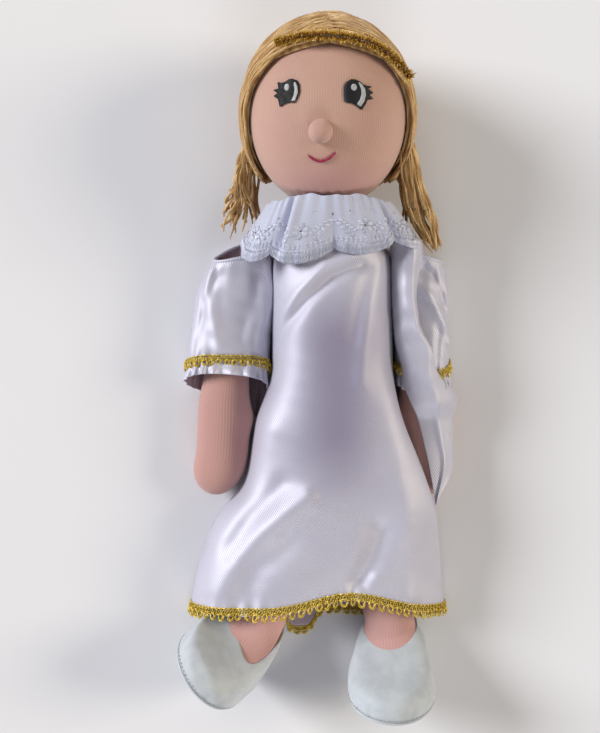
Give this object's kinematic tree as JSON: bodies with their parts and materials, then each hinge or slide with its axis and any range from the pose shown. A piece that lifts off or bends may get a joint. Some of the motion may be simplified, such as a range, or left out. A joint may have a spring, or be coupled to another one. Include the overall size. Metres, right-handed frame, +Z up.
{
  "type": "rag doll",
  "caption": "Stuffed fabric angel doll in a white satin gown with a lace collar, yarn hair, a tinsel halo and leatherette booties, lying on its back; its neck, arms and hips bend.",
  "frame": {"origin": "middle of the doll's box, on the surface that its back lies on", "axes": "+Y towards the head, +X towards the doll's left, +Z up out of the chest"},
  "size_m": [0.1608, 0.3984, 0.0937],
  "materials": {
    "jersey_skin": "ribbed cotton jersey",
    "jersey_pink": "ribbed cotton jersey",
    "embroidery_black": "satin-stitched thread",
    "embroidery_white": "satin-stitched thread",
    "embroidery_magenta": "stem-stitched thread",
    "yarn_blond": "loose wool yarn",
    "steel_wire": "bare wire",
    "gold_tinsel": "metallised film strips",
    "gold_braid": "metallised thread",
    "satin_white": "glossy satin weave",
    "eyelet_lace": "embroidered cotton",
    "leatherette_white": "coated leatherette",
    "fibrefill": "loose polyester fibre"
  },
  "bodies": {
    "torso": {"torso_skin": "jersey_skin", "torso_filling": "fibrefill", "bodice_front": "satin_white", "bodice_back": "satin_white", "collar": "eyelet_lace"},
    "neck": {"neck_skin": "jersey_skin", "neck_filling": "fibrefill"},
    "head": {"head_skin": "jersey_skin", "head_filling": "fibrefill", "nose": "jersey_skin", "right_eye": "embroidery_black", "left_eye": "embroidery_black", "right_eye_glint": "embroidery_white", "left_eye_glint": "embroidery_white", "mouth": "embroidery_magenta", "hair": "yarn_blond", "right_lock": "yarn_blond", "left_lock": "yarn_blond", "halo_wire": "steel_wire", "halo_tinsel": "gold_tinsel"},
    "right_arm": {"right_arm_skin": "jersey_skin", "right_arm_filling": "fibrefill", "right_sleeve": "satin_white", "right_sleeve_braid": "gold_braid"},
    "left_arm": {"left_arm_skin": "jersey_skin", "left_arm_filling": "fibrefill", "left_sleeve": "satin_white", "left_sleeve_braid": "gold_braid"},
    "lap": {"skirt_front": "satin_white", "skirt_back": "satin_white", "hem_braid_front": "gold_braid", "hem_braid_back": "gold_braid"},
    "right_leg": {"right_leg_skin": "jersey_pink", "right_leg_filling": "fibrefill", "right_shoe_upper": "leatherette_white", "right_shoe_sole": "leatherette_white", "right_foot_filling": "fibrefill"},
    "left_leg": {"left_leg_skin": "jersey_pink", "left_leg_filling": "fibrefill", "left_shoe_upper": "leatherette_white", "left_shoe_sole": "leatherette_white", "left_foot_filling": "fibrefill"}
  },
  "joints": [
    {"name": "neck_nod", "type": "hinge", "parent": "torso", "child": "neck", "pos_m": [0.00925, 0.0893, 0.038], "axis": [1, 0, 0], "range_deg": [0, 25], "deforming": ["collar"]},
    {"name": "head_turn", "type": "hinge", "parent": "neck", "child": "head", "pos_m": [0.00925, 0.0893, 0.038], "axis": [0, 1, 0], "range_deg": [-45, 45], "deforming": ["right_lock", "left_lock"]},
    {"name": "right_shoulder", "type": "hinge", "parent": "torso", "child": "right_arm", "pos_m": [-0.048, 0.048, 0.0144], "axis": [-1, 0, 0], "range_deg": [0, 120]},
    {"name": "left_shoulder", "type": "hinge", "parent": "torso", "child": "left_arm", "pos_m": [0.06275, 0.048, 0.0144], "axis": [-1, 0, 0], "range_deg": [0, 120]},
    {"name": "sit_fold", "type": "hinge", "parent": "torso", "child": "lap", "pos_m": [0.011, -0.045, 0.0174], "axis": [-1, 0, 0], "range_deg": [0, 90], "deforming": ["skirt_front", "hem_braid_front"]},
    {"name": "right_leg_splay", "type": "hinge", "parent": "lap", "child": "right_leg", "pos_m": [-0.007, -0.045, 0.0174], "axis": [0, 0, -1], "range_deg": [-6, 6]},
    {"name": "left_leg_splay", "type": "hinge", "parent": "lap", "child": "left_leg", "pos_m": [0.029, -0.045, 0.0174], "axis": [0, 0, 1], "range_deg": [-6, 6]}
  ]
}
